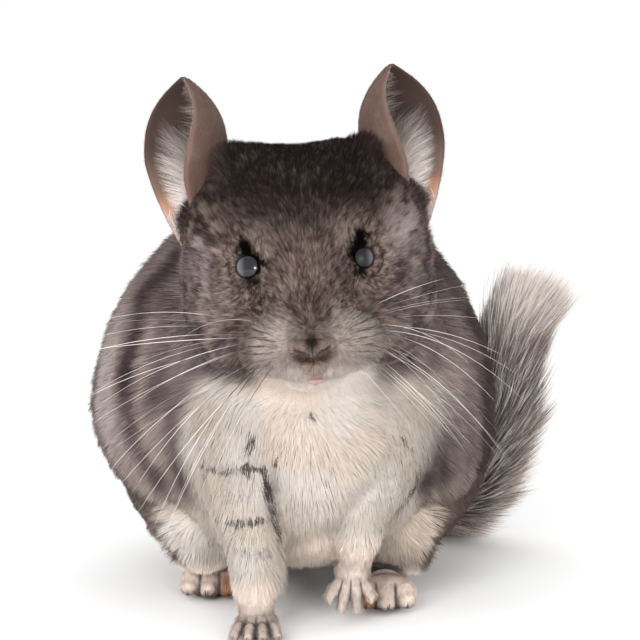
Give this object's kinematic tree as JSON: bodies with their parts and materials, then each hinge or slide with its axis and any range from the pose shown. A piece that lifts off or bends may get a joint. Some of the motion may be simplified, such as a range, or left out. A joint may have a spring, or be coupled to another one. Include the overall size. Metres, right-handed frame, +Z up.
{
  "type": "chinchilla figure",
  "caption": "Life-size still model of a crouching grey chinchilla: round furry body, tall cupped ears, whiskers and a bushy tail curled up at its left side.",
  "frame": {"origin": "middle of the underside of the whole model's box, on the floor it rests on", "axes": "+Z up; the animal looks along -Y; its own left side, where the tail curls up, is at +X"},
  "size_m": [0.188, 0.228, 0.1923],
  "materials": {
    "grey_fur": "dense soft grey coat with dark tips and paler mottling",
    "pale_fur": "cream to white soft coat of the throat, belly, lips and forelegs",
    "tail_fur": "long coarse tail hair, dark at the root and pale grey towards the tips",
    "ear_skin": "thin, nearly bare brown-grey ear skin, pinker at the root",
    "nose_skin": "fine matt brown-pink nose skin with a slight moist sheen",
    "eye_gloss": "very dark, wet, mirror-smooth eye",
    "foot_skin": "short cream fur over pinkish toes, with small dark claws"
  },
  "bodies": {
    "root": {"head": "grey_fur", "torso": "grey_fur", "haunch_left": "grey_fur", "haunch_right": "grey_fur", "chin": "pale_fur", "whisker_pad_left": "pale_fur", "whisker_pad_right": "pale_fur", "foreleg_left": "pale_fur", "foreleg_right": "pale_fur", "tail_base": "tail_fur", "tail_middle": "tail_fur", "tail_tip": "tail_fur", "ear_left": "ear_skin", "ear_right": "ear_skin", "nose": "nose_skin", "eye_left": "eye_gloss", "eye_right": "eye_gloss", "forepaw_left": "foot_skin", "forepaw_right": "foot_skin", "hind_foot_left": "foot_skin", "hind_foot_right": "foot_skin"}
  },
  "joints": []
}
